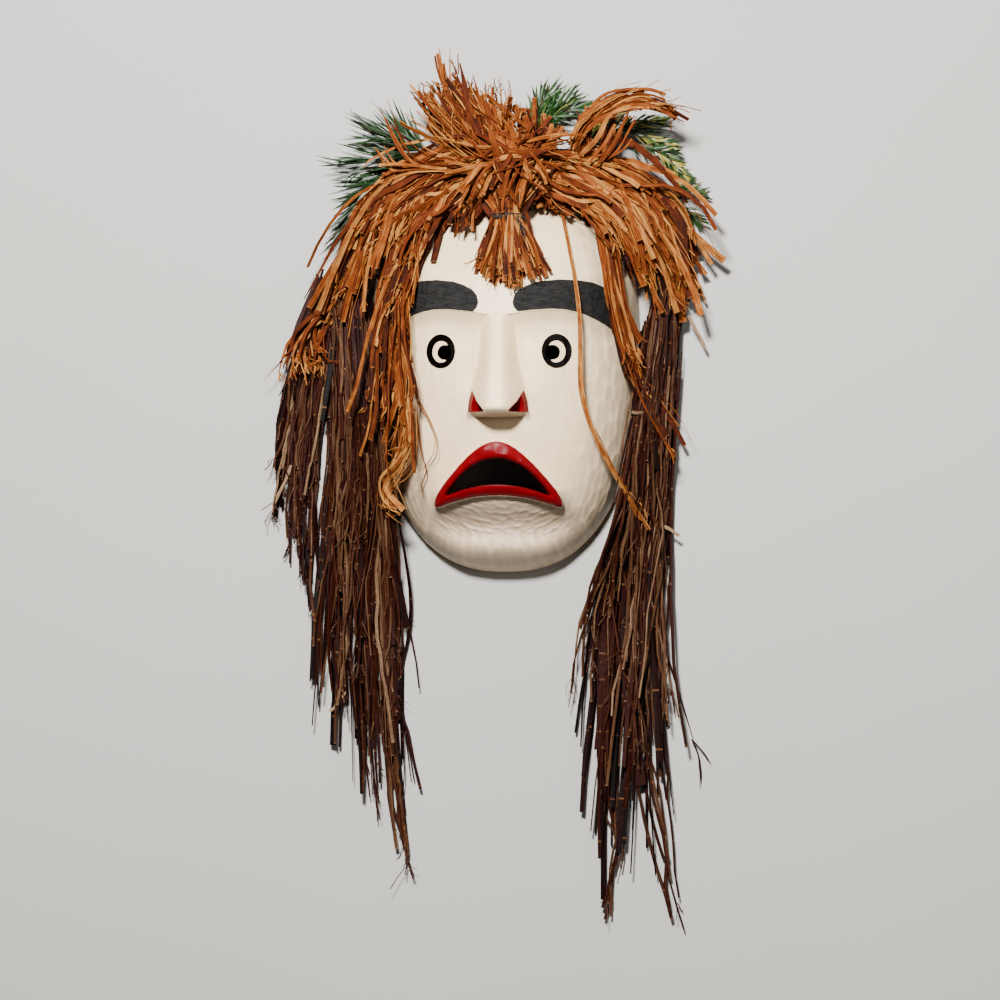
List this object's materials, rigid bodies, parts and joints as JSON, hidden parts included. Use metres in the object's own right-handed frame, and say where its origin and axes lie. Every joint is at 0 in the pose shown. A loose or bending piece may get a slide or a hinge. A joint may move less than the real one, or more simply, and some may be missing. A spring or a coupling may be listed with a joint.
{
  "type": "ceremonial mask",
  "caption": "Carved wooden face mask, painted white with dark brows, ring eyes and a red down-turned mouth, with shredded bark hair and conifer sprigs. Lies on its back rim.",
  "frame": {"origin": "middle of the underside of the bounding box, on the plane of the mask's back rim", "axes": "+Y towards the crown, along the length of the mask and its hanging bark; +Z the way the face looks, up as it lies; +X to the viewer's right"},
  "size_m": [0.3916, 0.7536, 0.1279],
  "materials": {
    "painted_wood": "hand-carved wood under satin white paint, with charcoal, black and red painted areas",
    "orange_bark": "dry shredded inner bark, matt, orange-brown",
    "dark_bark": "dry outer bark strips, low sheen, red-brown",
    "foliage": "conifer needles on a brown twig, slightly waxy",
    "thread": "dark wound thread"
  },
  "bodies": {
    "root": {"carved_face": "painted_wood", "hairline_band": "dark_bark", "crown_bundle": "orange_bark", "fringe_left": "orange_bark", "fringe_right": "orange_bark", "crown_spray": "orange_bark", "arch_spray": "orange_bark", "cheek_lock": "orange_bark", "temple_lock": "orange_bark", "face_strand": "orange_bark", "forelock": "orange_bark", "forelock_tie": "thread", "side_hair_left_outer": "dark_bark", "side_hair_left_middle": "dark_bark", "side_hair_left_inner": "dark_bark", "side_hair_right_outer": "dark_bark", "side_hair_right_middle": "dark_bark", "side_hair_right_inner": "dark_bark", "sprig_left": "foliage", "sprig_crown": "foliage", "sprig_right": "foliage", "sprig_low_right": "foliage"}
  },
  "joints": []
}
